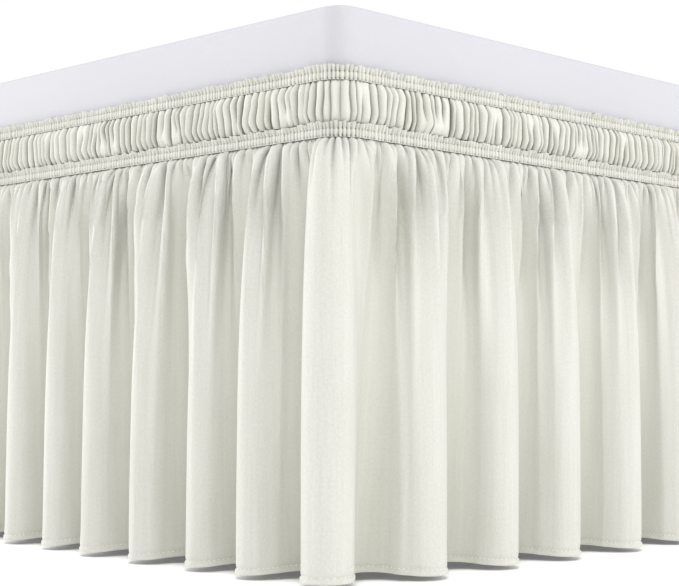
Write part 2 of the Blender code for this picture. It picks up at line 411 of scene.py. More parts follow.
# %% [markdown]
# ## A sheet from rows of points
# Cloth is a grid: rows of points from its top edge down. Where it needs fine gathers above and only broad
# folds below, the lower rows carry half as many points, and one row of triangles joins the two. The UV map
# holds each point's place on the flat cloth, in metres. Sewn cloth is never even, so two short functions
# draw its random sizes from seeded generators, which give the same skirt on every run.

# %% A sheet from rows of points


def between(random, span, count=None):
    """Random numbers. A span is the least one and how much more the others can be."""
    least, more = span
    return least + more * random.random(count)


def either_way(random, count=None):
    """Random numbers from -1 to 1."""
    return random.random(count) * 2 - 1


def grid_faces(first, second, columns, closed):
    """Quads between two rows, given the numbers of their first points."""
    here = np.arange(columns if closed else columns - 1)
    after = (here + 1) % columns
    return np.stack([first + here, second + here, second + after, first + after], axis=1)


def halving_faces(first, second, columns):
    """Triangles between a row of points and the next row, which has every other one of them."""
    pair = np.arange((columns - 1) // 2)
    left, middle, right = first + 2 * pair, first + 2 * pair + 1, first + 2 * pair + 2
    low, next_low = second + pair, second + pair + 1
    return np.concatenate([
        np.stack([left, low, middle], axis=1),
        np.stack([middle, low, next_low], axis=1),
        np.stack([middle, next_low, right], axis=1),
    ])


def sheet_object(name, rows, places, painted_shades, material, closed=False):
    """A smooth mesh through rows of points (n x 3), with the place of each on the flat cloth (n x 2).

    The last list says how deep in a groove each point lies, from 0 to 1, which is how much painted shade it
    takes.
    """
    starts = np.cumsum([0] + [len(row) for row in rows])
    faces = []
    for number, (row, below) in enumerate(zip(rows, rows[1:])):
        if len(row) == len(below):
            faces += grid_faces(starts[number], starts[number + 1], len(row), closed).tolist()
        else:
            faces += halving_faces(starts[number], starts[number + 1], len(row)).tolist()
    mesh = bpy.data.meshes.new(name)
    mesh.from_pydata(np.concatenate(rows).tolist(), [], faces)
    loops = np.empty(len(mesh.loops), np.int32)
    mesh.loops.foreach_get("vertex_index", loops)
    # The painted shade goes into a second UV map, beside the cloth's own.
    hollow = np.concatenate(painted_shades)
    maps = {"cloth": np.concatenate(places), "hollow": np.stack([hollow, np.zeros_like(hollow)], axis=1)}
    for map_name, values in maps.items():
        layer = mesh.uv_layers.new(name=map_name)
        layer.data.foreach_set("uv", values[loops].astype(np.float32).ravel())
    mesh.shade_smooth()
    mesh.materials.append(material)
    print(f"{name}: {sum(len(face) - 2 for face in faces)} triangles")
    return add_object(name, mesh)


# %% [markdown]
# ## Where the folds fall
# The folds near the picture's corner are placed one by one: a row gives a crest's distance from the corner
# along its side, and how deep the fold is. Round the rest of the bed they follow the same spacing,
# unevenly. Seen from above, one fold is the curve of a strip that is pushed together, whose direction
# swings as a sine.

# %% Where the folds fall
VALLEY_CLEAR = 0.0042  # from the box's side to a valley's face
HEM_TUCK = 0.0110  # how far a valley swings in under the bed by the hem
TUCK_CURVE = 1.5  # power of the height below the box that the swing follows
HEM_LIFT = 0.0030  # how much higher the hem is in a valley than on a crest
LIFT_CURVE = 6  # power of the share of the drop that the lift follows
DEPTH_SHARE = 0.32  # a fold's depth as a share of the crests' spacing
FOLD_SLOPE = math.radians(74)  # steepest slope of a fold's flank
QUICK_SHARE = 0.62  # of a crest's way out that opens within QUICK_REACH, a share of the drop
QUICK_REACH = 0.06
SLOW_SHARE = 0.35  # and what opens within SLOW_REACH
SLOW_REACH = 0.35
BROAD_SHARE = 0.97  # the same for the broad shape round a crest
BROAD_REACH = 0.30
LEANS = np.array([0.014, 0.010, 0.010, 0.004])  # for the foot, right, head and left sides
USUAL_SPACING = 0.094  # between crests, where the folds aren't placed one by one
UNEVEN = 0.16  # how much the widths of those folds differ, as a share
FOOT_FOLDS = ((0.080, 0.032), (0.176, 0.030), (0.265, 0.029), (0.361, 0.030), (0.449, 0.029))
LEFT_FOLDS = ((0.078, 0.030), (0.143, 0.028), (0.217, 0.032), (0.290, 0.031), (0.356, 0.027), (0.421, 0.026))
NEAR_CORNER_FOLD = (0.011, 0.034)  # set back from the corner's middle, towards the left side
FAR_CORNER_DEPTH = 0.033


def fold_wave(steps=320):
    """One fold in plan, crest to crest, as arrays: share of the cloth, share of the spacing, rise 0 to 1."""
    slope = -FOLD_SLOPE * np.sin(2 * math.pi * (np.arange(steps) + 0.5) / steps)
    along = np.concatenate([[0], np.cumsum(np.cos(slope))])
    out = np.concatenate([[0], np.cumsum(np.sin(slope))])
    return np.linspace(0, 1, steps + 1), along / along[-1], 1 - out / out.min()


def uneven_positions(start, end):
    """Crest positions between two fixed crests, near the usual spacing but not even."""
    count = max(2, round((end - start) / USUAL_SPACING))
    widths = [1 + UNEVEN * (math.sin(2.4 * k) + math.sin(5.1 * k + start) / 2) for k in range(count)]
    total = sum(widths)
    return [start + (end - start) * sum(widths[:k]) / total for k in range(1, count)]


def all_folds():
    """Every fold's crest position and depth, for one lap from the near corner."""
    near, *far_corners = corner_middles()
    left_end = GUIDE_LENGTH - CORNER_ARC + BOX_CORNER
    depths = {near - NEAR_CORNER_FOLD[0]: NEAR_CORNER_FOLD[1]}
    depths.update({distance - BOX_CORNER: depth for distance, depth in FOOT_FOLDS})
    depths.update({corner: FAR_CORNER_DEPTH for corner in far_corners})
    depths.update({left_end - distance: depth for distance, depth in LEFT_FOLDS})
    ends = [FOOT_FOLDS[-1][0] - BOX_CORNER, *far_corners, left_end - LEFT_FOLDS[-1][0]]
    between = [p for start, end in zip(ends, ends[1:]) for p in uneven_positions(start, end)]
    crests = sorted([*depths, *between])
    ring = [crests[-1] - GUIDE_LENGTH, *crests, crests[0] + GUIDE_LENGTH]
    folds = []
    for before, crest, after in zip(ring, ring[1:], ring[2:]):
        folds.append((crest, depths.get(crest, DEPTH_SHARE * (after - before) / 2)))
    return folds


WAVE_CLOTH, WAVE_ALONG, WAVE_RISE = fold_wave()
FOLDS = all_folds()
COUNT = len(FOLDS)
CREST = np.array([crest for crest, _ in FOLDS] + [FOLDS[0][0] + GUIDE_LENGTH])
DEPTH = np.array([depth for _, depth in FOLDS] + [FOLDS[0][1]])
print(f"{COUNT} folds, {1000 * np.diff(CREST).min():.0f} to {1000 * np.diff(CREST).max():.0f} mm apart")

# %% [markdown]
# ## How much cloth a fold takes
# A fold is longer along the cloth than along the bed. Its length is measured once, so that every fold knows
# where it starts on the flat cloth. Gathers, slubs and stitches are all laid out on that flat length.

# %% How much cloth a fold takes


def fold_length(number):
    """Length of cloth in one fold, from crest to crest, at its fullest."""
    spacing = CREST[number + 1] - CREST[number]
    depth = np.where(WAVE_ALONG < 0.5, DEPTH[number], DEPTH[number + 1])
    return float(np.hypot(np.diff(WAVE_ALONG * spacing), np.diff(WAVE_RISE * depth)).sum())


FOLD_CLOTH = np.array([fold_length(number) for number in range(COUNT)])
CLOTH_START = np.concatenate([[0], np.cumsum(FOLD_CLOTH)])
CLOTH_LENGTH = CLOTH_START[-1]
print(f"{CLOTH_LENGTH:.2f} m of cloth round {GUIDE_LENGTH:.2f} m of bed")

# %% [markdown]
# ## The main folds
# At the band the cloth is spread evenly along the bed and lies close to it. Further down it swings out to
# the crests, and in under the bed between them. A crest moves out quickly, because its own narrow fold
# carries it. The broad shape round it opens more slowly. A cloth simulation could hang the drop, but it
# would choose where the folds fall. Here they have to fall where the picture has them, so every point's
# place is worked out.

# %% The main folds
DROP_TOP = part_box("drop_foot")[1].z
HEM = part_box("drop_foot")[0].z
DROP_HEIGHT = DROP_TOP - HEM
BOX_BOTTOM = box_low.z
CORNER_CREST = np.cos(2 * math.pi * (CREST[:, None] - corner_middles()) / GUIDE_LENGTH).max(axis=1)
CORNER_CREST = CORNER_CREST > math.cos(2 * math.pi * BOX_CORNER / GUIDE_LENGTH)


def crest_opened(down):
    """How far the crests have moved out this far below the band, from almost 0 to 1."""
    share = down / DROP_HEIGHT
    return 1 - QUICK_SHARE * math.exp(-share / QUICK_REACH) - SLOW_SHARE * math.exp(-share / SLOW_REACH)


def opened(down):
    """How far the broad folds have opened there. The rest of a crest's way out is its own middle fold."""
    return 1 - BROAD_SHARE * math.exp(-down / DROP_HEIGHT / BROAD_REACH)


def grown(number, share, down):
    """The same at a share of a fold's cloth. The folds at the corners swing out as broad as they are."""
    at_corner = CORNER_CREST[np.where(share < 0.5, number, number + 1)]
    broad = 1 - np.sin(math.pi * share) ** 4
    return opened(down) + at_corner * (crest_opened(down) - opened(down)) * broad


def lean_at(position):
    """How far along the band the gathers sit from the crests that they feed: away from the nearer corner."""
    middles = np.array([*corner_middles(), corner_middles()[0] + GUIDE_LENGTH])
    corner = np.clip(np.searchsorted(middles, position, side="right") - 1, 0, 3)
    past = position - middles[corner]
    left = middles[corner + 1] - position
    beside = np.clip(np.minimum(past, left) / CORNER_ARC, 0, 1)
    return LEANS[corner] * beside * np.cos(math.pi * past / (past + left))


def main_fold(cloth, down):
    """Position along the bed, offset from it and rise of places on the cloth, on the main folds alone."""
    lap = np.floor(cloth / CLOTH_LENGTH)
    cloth = cloth - lap * CLOTH_LENGTH
    number = np.minimum(np.searchsorted(CLOTH_START, cloth, side="right") - 1, COUNT - 1)
    share = (cloth - CLOTH_START[number]) / FOLD_CLOTH[number]
    growth = grown(number, share, down)
    along = share + (np.interp(share, WAVE_CLOTH, WAVE_ALONG) - share) * growth
    rise = np.interp(along, WAVE_ALONG, WAVE_RISE)
    position = CREST[number] + (CREST[number + 1] - CREST[number]) * along
    depth = np.where(along < 0.5, DEPTH[number], DEPTH[number + 1])
    under_box = max(0.0, (down - (DROP_TOP - BOX_BOTTOM)) / (BOX_BOTTOM - HEM))
    offset = VALLEY_CLEAR - HEM_TUCK * under_box**TUCK_CURVE * (1 - rise) + depth * rise * growth
    return position + lean_at(position) * (1 - growth) + lap * GUIDE_LENGTH, offset, rise


print(f"the drop hangs {DROP_HEIGHT:.3f} m from {DROP_TOP:.3f} m above the floor")

# %% [markdown]
# ## Middle folds
# Between the fine gathers and the main folds there are folds of a middle size, about 3 cm apart. They leave
# the band as narrow crests with rounded valleys between, and flatten out on the way down, so that two or
# three of them join into each main fold. Some go on to the hem as soft creases. They could be sculpted, but
# then nothing would say where they are. Near the picture's corner each is a row of a table, given one by
# one, and elsewhere a seeded generator draws them with much the same sizes.

# %% Middle folds
# Main fold counted from the corner's own, share of its cloth, how far down, height, lean in 10 cm, and the
# share of its height that goes on to the hem as a soft crease
HAND_FOLDS = (
    (0, 0.42, 0.13, 0.015, 0.0, 0.0),
    (0, 0.63, 0.14, 0.0155, 0.006, 0.24),
    (0, 0.82, 0.13, 0.015, 0.0, 0.0),
    (1, 0.17, 0.1, 0.012, 0.0, 0.0),
    (1, 0.48, 0.15, 0.0155, 0.005, 0.24),
    (1, 0.74, 0.13, 0.0155, 0.001, 0.0),
    (2, 0.38, 0.13, 0.0155, 0.0, 0.0),
    (2, 0.62, 0.15, 0.014, 0.004, 0.24),
    (2, 0.82, 0.12, 0.015, 0.001, 0.0),
    (3, 0.34, 0.12, 0.015, 0.0, 0.0),
    (3, 0.64, 0.14, 0.0155, 0.004, 0.22),
    (3, 0.85, 0.12, 0.015, 0.001, 0.0),
    (4, 0.36, 0.14, 0.015, 0.0, 0.0),
    (4, 0.7, 0.14, 0.0155, 0.003, 0.22),
    (-1, 0.15, 0.12, 0.0155, 0.0, 0.0),
    (-1, 0.39, 0.16, 0.016, -0.004, 0.2),
    (-2, 0.18, 0.14, 0.012, 0.0, 0.0),
    (-2, 0.52, 0.15, 0.015, -0.003, 0.16),
    (-3, 0.24, 0.16, 0.0155, -0.003, 0.16),
    (-3, 0.8, 0.13, 0.015, 0.0, 0.0),
    (-4, 0.21, 0.14, 0.015, 0.0, 0.0),
    (-4, 0.48, 0.13, 0.015, -0.002, 0.18),
    (-4, 0.78, 0.12, 0.014, 0.0, 0.0),
    (-5, 0.36, 0.13, 0.0145, 0.002, 0.15),
    (-5, 0.7, 0.12, 0.014, 0.0, 0.0),
)
FOLD_START = 0.014  # how far down a middle fold takes its height
FOLD_MEAN = 0.3  # share of its height by which the whole of it sits further in
FOLD_REACH = 0.46  # how much of the way to its neighbour a fold reaches
FOLD_WIDEST = 0.018  # and how far at most, while it is at its full height
LEAN_DEPTH = 0.30  # how far down a fold goes on leaning
FLAT_REACH = 0.86  # how much of the way a fold reaches once it has flattened out
OTHER_SHIFT = 0.24  # how far a fold that isn't listed sits from its third of the cloth, either way
OTHER_LIFE = (0.11, 0.08)
OTHER_HEIGHT = (0.0115, 0.0030)
OTHER_LEAN = 0.004  # either way
OTHER_CREASE = 0.20  # at most


def make_middle_folds():
    """Every middle fold in order, as columns: place, life, height, lean, crease, depth of its main fold.

    A main fold's crest is one of them. It has no height of its own, but follows the depth of its main fold.
    """
    corner = int(np.abs(CREST[:COUNT] - corner_middles()[0]).argmin())
    random = np.random.default_rng(8)
    by_hand = {(corner + row[0]) % COUNT for row in HAND_FOLDS}
    narrow = np.where(CORNER_CREST, 0.0, DEPTH)
    folds = [(CLOTH_START[number], DROP_HEIGHT, 0.0, 0.0, 0.0, narrow[number]) for number in range(COUNT)]
    for step, share, life, height, lean, crease in HAND_FOLDS:
        number = (corner + step) % COUNT
        folds.append((CLOTH_START[number] + share * FOLD_CLOTH[number], life, height, lean, crease, 0.0))
    for number in sorted(set(range(COUNT)) - by_hand):
        for third in (1, 2):
            share = (third + OTHER_SHIFT * either_way(random)) / 3
            life = between(random, OTHER_LIFE)
            height = between(random, OTHER_HEIGHT)
            lean = OTHER_LEAN * either_way(random)
            crease = OTHER_CREASE * random.random() if third == 2 else 0.0
            folds.append((CLOTH_START[number] + share * FOLD_CLOTH[number], life, height, lean, crease, 0.0))
    return np.array(sorted(folds)).T


FOLD_PLACE, FOLD_LIFE, FOLD_HEIGHT, FOLD_LEAN, FOLD_CREASE, FOLD_DEPTH = make_middle_folds()
print(len(FOLD_PLACE), "middle folds")


def ringed(values, lap=0.0):
    """Values of all middle folds with the last one before them and the first one after them."""
    return np.concatenate([values[-1:] - lap, values, values[:1] + lap])


def middle_relief(cloth, down):
    """How far the middle folds stand off the main ones, this far below the band."""
    crest = ringed(FOLD_PLACE + FOLD_LEAN * min(down, LEAN_DEPTH) / 0.1, CLOTH_LENGTH)
    alive = np.exp(-((down / FOLD_LIFE) ** 2.4))
    alive = (1 - math.exp(-down / FOLD_START)) * (alive + (1 - alive) * FOLD_CREASE)
    carried = FOLD_DEPTH * (crest_opened(down) - opened(down)) / (1 - FOLD_MEAN)
    height = ringed(FOLD_HEIGHT * alive + carried)
    alive = ringed(np.where(FOLD_DEPTH > 0, 1.0, alive))
    cloth = np.mod(cloth, CLOTH_LENGTH)
    number = np.searchsorted(crest, cloth, side="right") - 1
    apart = crest[number + 1] - crest[number]
    share = (cloth - crest[number]) / apart
    reach = np.minimum(FOLD_REACH, FOLD_WIDEST / apart)
    first_reach = reach + (FLAT_REACH - reach) * (1 - alive[number + 1])
    second_reach = reach + (FLAT_REACH - reach) * (1 - alive[number])
    first = height[number] * np.clip(1 - share / first_reach, 0, 1) ** 1.5
    second = height[number + 1] * np.clip(1 - (1 - share) / second_reach, 0, 1) ** 1.5
    return first + second - FOLD_MEAN * (height[number] * (1 - share) + height[number + 1] * share)


# %% [markdown]
# ## Gathers
# Right under the band the cloth is crowded into small gathers, each a rounded puff between two sharp
# grooves. Most grooves run out within a few centimetres, so that their neighbours join. The ones in the
# valleys of the middle folds carry on further. A bump would be cheaper, but the gathers shade one another
# and show at the outline, so they are real relief. The columns of the mesh start in the grooves and crowd
# beside them, which keeps every groove sharp with few points.

# %% Gathers
GATHER_PITCH = 0.0072  # along the bed
GATHER_SHARES = np.array([0.0, 0.06, 0.15, 0.30, 0.50, 0.70, 0.85, 0.94])
EVEN_SHARES = np.arange(len(GATHER_SHARES)) / len(GATHER_SHARES)
GATHER_PUFF = 0.0034
NOTCH = 0.0030  # how much deeper every groove is right under the band
NOTCH_LENGTH = 0.007
GATHER_UNEVEN = 0.42  # how much the gathers' widths differ, as a share
GROOVE_LIFE = (0.007, 0.036)
GROOVE_DEPTH = (0.0036, 0.0030)
LONG_LIFE = (0.040, 0.050)  # the same for the grooves in the valleys of the middle folds
LONG_DEPTH = (0.0050, 0.0020)
END_LIFE, END_DEPTH = 0.040, 0.0050  # and for those at a panel's ends, where the next panel joins
CROWN = (0.5, 1.0)  # how high a puff is, as a share
SWAY = 0.0030  # how far a groove wanders
GROOVE_SHADE_FULL = 0.0080  # painted shade: a groove this deep counts as 1, less the start on the next line
GROOVE_SHADE_START = 0.45
GROOVE_SHADE_MOST = 0.5
EVEN_START = 0.022  # below this the columns spread out evenly again


def valley_grooves(place):
    """The numbers of the grooves that lie in the valleys of the middle folds."""
    valleys = FOLD_PLACE + np.diff(FOLD_PLACE, append=FOLD_PLACE[0] + CLOTH_LENGTH) / 2
    half = CLOTH_LENGTH / 2
    apart = np.abs(np.mod(place[:, None] - valleys[None, :] + half, CLOTH_LENGTH) - half)
    nearest = apart.argmin(axis=0)
    return np.unique(nearest[apart.min(axis=0) < GATHER_PITCH])


def make_gathers(start, end, seed):
    """Grooves along one panel's cloth, with one at each of its ends."""
    random = np.random.default_rng(seed)
    count = 2 * round((end - start) * GUIDE_LENGTH / CLOTH_LENGTH / GATHER_PITCH / 2)
    widths = 1 + GATHER_UNEVEN * either_way(random, count)
    place = start + np.concatenate([[0], np.cumsum(widths)]) / widths.sum() * (end - start)
    life = GROOVE_LIFE[0] + GROOVE_LIFE[1] * random.random(count + 1) ** 2.0
    depth = between(random, GROOVE_DEPTH, count + 1)
    long = valley_grooves(place)
    life[long] = between(random, LONG_LIFE, len(long))
    depth[long] = between(random, LONG_DEPTH, len(long))
    sway = either_way(random, count + 1)
    life[[0, -1]], depth[[0, -1]], sway[[0, -1]] = END_LIFE, END_DEPTH, 0.0
    crown = between(random, CROWN, count)
    return {"place": place, "life": life, "depth": depth, "sway": sway, "crown": crown}


def gather_row(gathers, down):
    """One row's columns: places on the cloth, how far the gathers stand off it, and its painted shade."""
    grooves = gathers["place"] + SWAY * gathers["sway"] * math.sin(down / 0.030)
    width = np.diff(grooves)
    count = len(width)
    share = np.append(np.tile(GATHER_SHARES, count), 1.0)
    number = np.append(np.repeat(np.arange(count), len(GATHER_SHARES)), count - 1)
    depth = gathers["depth"] * (0.5 + 0.5 * (1 - math.exp(-down / 0.002)))
    notch = NOTCH * math.exp(-((down / NOTCH_LENGTH) ** 1.5))
    depth = depth * np.exp(-((down / gathers["life"]) ** 1.6)) + notch
    reach = 0.0013 + 0.0016 * math.exp(-down / NOTCH_LENGTH) + 0.035 * down
    left = depth[number] * np.exp(-((share * width[number] / reach) ** 1.1))
    right = depth[number + 1] * np.exp(-(((1 - share) * width[number] / reach) ** 1.1))
    swell = GATHER_PUFF * (1 - math.exp(-down / 0.002)) * math.exp(-down / 0.020)
    rounded = 4 * share * (1 - share)
    relief = swell * (0.3 + rounded * gathers["crown"][number]) - left - right
    # Painted shade in the grooves, darker where a groove is deeper.
    hollow = np.clip((left + right) / GROOVE_SHADE_FULL - GROOVE_SHADE_START, 0, GROOVE_SHADE_MOST)
    cloth = grooves[number] + share * width[number]
    even = grooves[number] + width[number] * np.append(np.tile(EVEN_SHARES, count), 1.0)
    evened = min(1, max(0, (down - EVEN_START) / (FINE_DEPTH - EVEN_START)))
    evened = evened * evened * (3 - 2 * evened)
    blended = cloth + (even - cloth) * evened
    return blended, np.interp(blended, cloth, relief), np.interp(blended, cloth, hollow)


# %% [markdown]
# ## The drop
# The drop hangs as four panels. Each point starts on its main fold, which opens from almost nothing at the
# band. It then moves off that surface, square to it, by the relief of the middle folds, and after that by
# the relief of the gathers. Under the band the cloth is spread evenly along the bed, and further down it
# gathers on the flanks of the main folds. The hem is turned up by a few millimetres and stitched, which
# puckers it.

# %% The drop
FINE_DEPTH = 0.052  # below this every other column is left out
SIDE_CLEAR = 0.0012  # closest that the drop comes to the box's side, where it hangs beside it
MAIN_AROUND = 0.0010  # how far on either side a main fold's direction is measured
MIDDLE_AROUND = 0.0030  # and a middle fold's
HEM_LINE = 0.0048  # from the lower edge up to the row of stitches
HEM_ROWS = (0.030, 0.021, 0.014, 0.009, 0.0064, HEM_LINE, 0.0032, 0.0014, 0.0)
PUCKER_PITCH = 0.0085
PUCKER = 0.0011  # how far a pucker stands off
HEM_THICK = 0.0007  # how much thicker the turned-up hem is, and how deep its stitches lie
VALLEY_SHADE = 0.32  # painted shade at the bottom of a main fold's valley
MIDDLE_SHADE = 0.08  # and at most that in a middle fold's valley


def stood_off(here, before, after, relief):
    """Points in plan moved square to the row's line, which runs from the points before to those after."""
    run, climb = after[0] - before[0], after[1] - before[1]
    length = np.hypot(run, climb)
    return here[0] - climb / length * relief, here[1] + run / length * relief


def middle_fold(cloth, down):
    """The same as main_fold, with the middle folds on it."""
    here, before, after = (main_fold(cloth + shift, down) for shift in (0.0, -MAIN_AROUND, MAIN_AROUND))
    position, offset = stood_off(here, before, after, middle_relief(cloth, down))
    return position, offset, here[2]


PUCKERS = either_way(np.random.default_rng(30), round(CLOTH_LENGTH / PUCKER_PITCH))


def hem_relief(cloth, up):
    """Thickness of the turned-up hem, with the dent of its stitches and the puckers that they draw."""
    rolled = HEM_THICK if up < HEM_LINE else 0.0
    dent = HEM_THICK * math.exp(-(((up - HEM_LINE) / 0.0008) ** 2))
    knots = np.arange(len(PUCKERS)) * PUCKER_PITCH
    pucker = np.interp(np.mod(cloth, CLOTH_LENGTH), knots, PUCKERS, period=CLOTH_LENGTH)
    return rolled - dent + PUCKER * pucker * math.exp(-abs(up - HEM_LINE) / 0.007)


def drop_row(cloth, relief, down):
    """Points of the drop's face at one height, and the painted shade of its main and middle folds' valleys.
    """
    shifts = (0.0, -MIDDLE_AROUND, MIDDLE_AROUND)
    here, before, after = (middle_fold(cloth + shift, down) for shift in shifts)
    position, offset = stood_off(here, before, after, relief + hem_relief(cloth, DROP_HEIGHT - down))
    lowest = SIDE_CLEAR if down < DROP_TOP - BOX_BOTTOM else SIDE_CLEAR - HEM_TUCK
    x, y = on_plan(position, np.maximum(offset, lowest))
    rise = here[2]
    z = DROP_TOP - down + HEM_LIFT * (1 - rise) * (down / DROP_HEIGHT) ** LIFT_CURVE
    # Painted shade, darkest at the bottom of each valley and growing as the folds open.
    hollow = VALLEY_SHADE * (1 - rise) ** 1.3 * opened(down)
    hollow = hollow + np.clip(-middle_relief(cloth, down) / 0.040, 0, MIDDLE_SHADE)
    return np.stack([x, y, z], axis=1), hollow


def panel_ends():
    """Where each panel starts on the cloth: in the valley before each corner's fold."""
    ends = []
    for middle in corner_middles():
        number = int(np.abs(CREST[:COUNT] - middle).argmin())
        previous = (number - 1) % COUNT
        ends.append(CLOTH_START[number] - FOLD_CLOTH[previous] / 2)
    return [*ends, ends[0] + CLOTH_LENGTH]


def drop_depths():
    """How far below the band each row of the drop is: close together under it and again at the hem."""
    fine = np.concatenate([np.linspace(0, 0.010, 7), np.linspace(0.0125, FINE_DEPTH, 17)])
    coarse = np.linspace(FINE_DEPTH + 0.005, DROP_HEIGHT - HEM_ROWS[0] - 0.008, 32)
    return [*fine, *coarse, *(DROP_HEIGHT - up for up in HEM_ROWS)]


def make_panel(name, start, end, seed):
    """One panel of the drop, between two places on the cloth."""
    gathers = make_gathers(start, end, seed)
    rows, places, painted_shades = [], [], []
    for down in drop_depths():
        cloth, relief, hollow = gather_row(gathers, down)
        if down > FINE_DEPTH:
            cloth, relief, hollow = cloth[::2], relief[::2], hollow[::2]
        points, fold_shade = drop_row(cloth, relief, down)
        rows.append(points)
        places.append(np.stack([cloth, np.full_like(cloth, -down)], axis=1))
        # Painted shade of the gathers' grooves and of the folds' valleys, together.
        painted_shades.append(np.clip(hollow + fold_shade, 0, 1))
    panel = sheet_object(f"drop_{name}_cloth", rows, places, painted_shades, CLOTH)
    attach(panel, "root")
    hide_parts(f"drop_{name}")
    end - start


PANEL_ENDS = panel_ends()
for seed, name in enumerate(("foot", "right", "head", "left")):
    make_panel(name, PANEL_ENDS[seed], PANEL_ENDS[seed + 1], seed)

# %% [markdown]
# ## Stitches of the hem
# The row of stitches along the hem is one thread that shows as short dashes on the outside. A curve with a
# bevel for each would cost many more points than a dash this small can show. So each dash is a pointed
# grain of six triangles that lies in the dent of its row, and all of them are one mesh.

# %% Stitches of the hem
STITCH_PITCH = 0.0036  # on the cloth
STITCH_LENGTH = 0.0022
STITCH_HALF = 0.0003  # its half width
STITCH_FACES = ((0, 3, 4), (0, 4, 2), (1, 2, 4), (1, 4, 3), (0, 2, 3), (1, 3, 2))


def make_hem_stitches():
    """A thread dash every few millimetres along the hem."""
    starts = np.arange(0, CLOTH_LENGTH - STITCH_PITCH, STITCH_PITCH)
    down = DROP_HEIGHT - HEM_LINE
    cloth = np.sort(np.concatenate([starts, starts + STITCH_LENGTH]))
    points, _ = drop_row(cloth, np.zeros_like(cloth), down)
    first, second = points[::2], points[1::2]
    middle = (first + second) / 2
    along = second - first
    outward = np.stack([along[:, 1], -along[:, 0], np.zeros(len(along))], axis=1)
    outward = outward / np.linalg.norm(outward, axis=1, keepdims=True)
    upward = np.array([0, 0, STITCH_HALF])
    lifted = 0.0002 * outward
    corners = [first + lifted, second + lifted, middle + upward, middle - upward, middle + 3 * lifted]
    verts = np.stack(corners, axis=1).reshape(-1, 3)
    dashes = range(len(first))
    faces = [[5 * dash + corner for corner in face] for dash in dashes for face in STITCH_FACES]
    mesh = bpy.data.meshes.new("hem_stitches")
    mesh.from_pydata(verts.tolist(), [], faces)
    mesh.materials.append(THREAD)
    stitches = add_object("hem_stitches", mesh)
    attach(stitches, "root")
    print(f"{len(first)} stitches in the hem, {len(faces)} triangles")


make_hem_stitches()

# %% [markdown]
# ## The shirred bands
# Each band is cloth drawn up over elastic into pleats about 4 mm apart and sewn down along two rows.
# Between the rows the pleats stand as fine ribs, and at a row the thread pulls each of them in, so a row
# reads as a line of dark dots, which painted shade makes darker still, as it does the valleys between ribs.
# Above its upper row the cloth's edge stands free as a small uneven frill.
# Copies of one modelled pleat would be quick, but they would all be alike. One grid round the bed takes
# four points for each pleat, and every pleat can have a size of its own.

# %% The shirred bands
PLEAT_PITCH = 0.0039
PLEAT_SHARES = np.array([0.0, 0.22, 0.5, 0.78])  # a sharp valley, then over a rounded rib
PLEAT_TOPS = np.array([0.0, 0.80, 1.0, 0.80])  # how far up the rib each of them is
PLEATS = round(GUIDE_LENGTH / PLEAT_PITCH)
FRILL_HEIGHT = 0.0050
PLEAT_UNEVEN = 0.25  # how much the pleats' widths differ, as a share
RIB_TALL = (0.8, 0.4)
RAGGED = 0.0020  # how much the frill's edge goes up and down, so it laps over the cloth above by up to 1 mm
FRILL_FREE = (-0.3, 1.1)  # how much further than its rib a pleat of the frill stands out, as a share
BAND_BACK = 0.0012  # from the plain band's face in to the line that ribs and valleys are measured from
SKIRT_OUT = 0.006  # about how far outside the box's side the bands and the heading lie
DOT = 0.0007  # half height of a stitch's dent


def band_profile(top, bottom):
    """Rows of a band from its top: height, how far ribs and valleys stand off its face, and painted shade.

    The valleys of a sewn row end inside the box's cover, by about half a millimetre.
    """
    upper_row = top - FRILL_HEIGHT
    lower_row = bottom + 2 * DOT
    middle = (upper_row + lower_row) / 2
    return (
        (top, 0.0020, -0.0008, 0.0),
        (top - 0.5 * FRILL_HEIGHT, 0.0015, -0.0014, 0.3),
        (upper_row + DOT, 0.0010, -0.0012, 0.40),
        (upper_row, 0.0009, -0.0034, 1.0),
        (upper_row - DOT, 0.0010, -0.0010, 0.40),
        (middle, 0.0010, -0.0010, 0.35),
        (lower_row + DOT, 0.0010, -0.0010, 0.40),
        (lower_row, 0.0009, -0.0034, 1.0),
        (bottom, 0.0010, -0.0012, 0.4),
    )


def even_on_skirt(edges):
    """Positions of evenly laid things, which are wider apart on the guide line where it turns a corner."""
    tight = (BOX_CORNER + SKIRT_OUT) / (BOX_CORNER + GUIDE_OFFSET)
    lengths = [length for straight in STRAIGHTS for length in (straight, CORNER_ARC * tight)]
    laid = np.concatenate([[0], np.cumsum(lengths)])
    return np.interp(edges / edges[-1] * laid[-1], laid, [*STARTS, GUIDE_LENGTH])


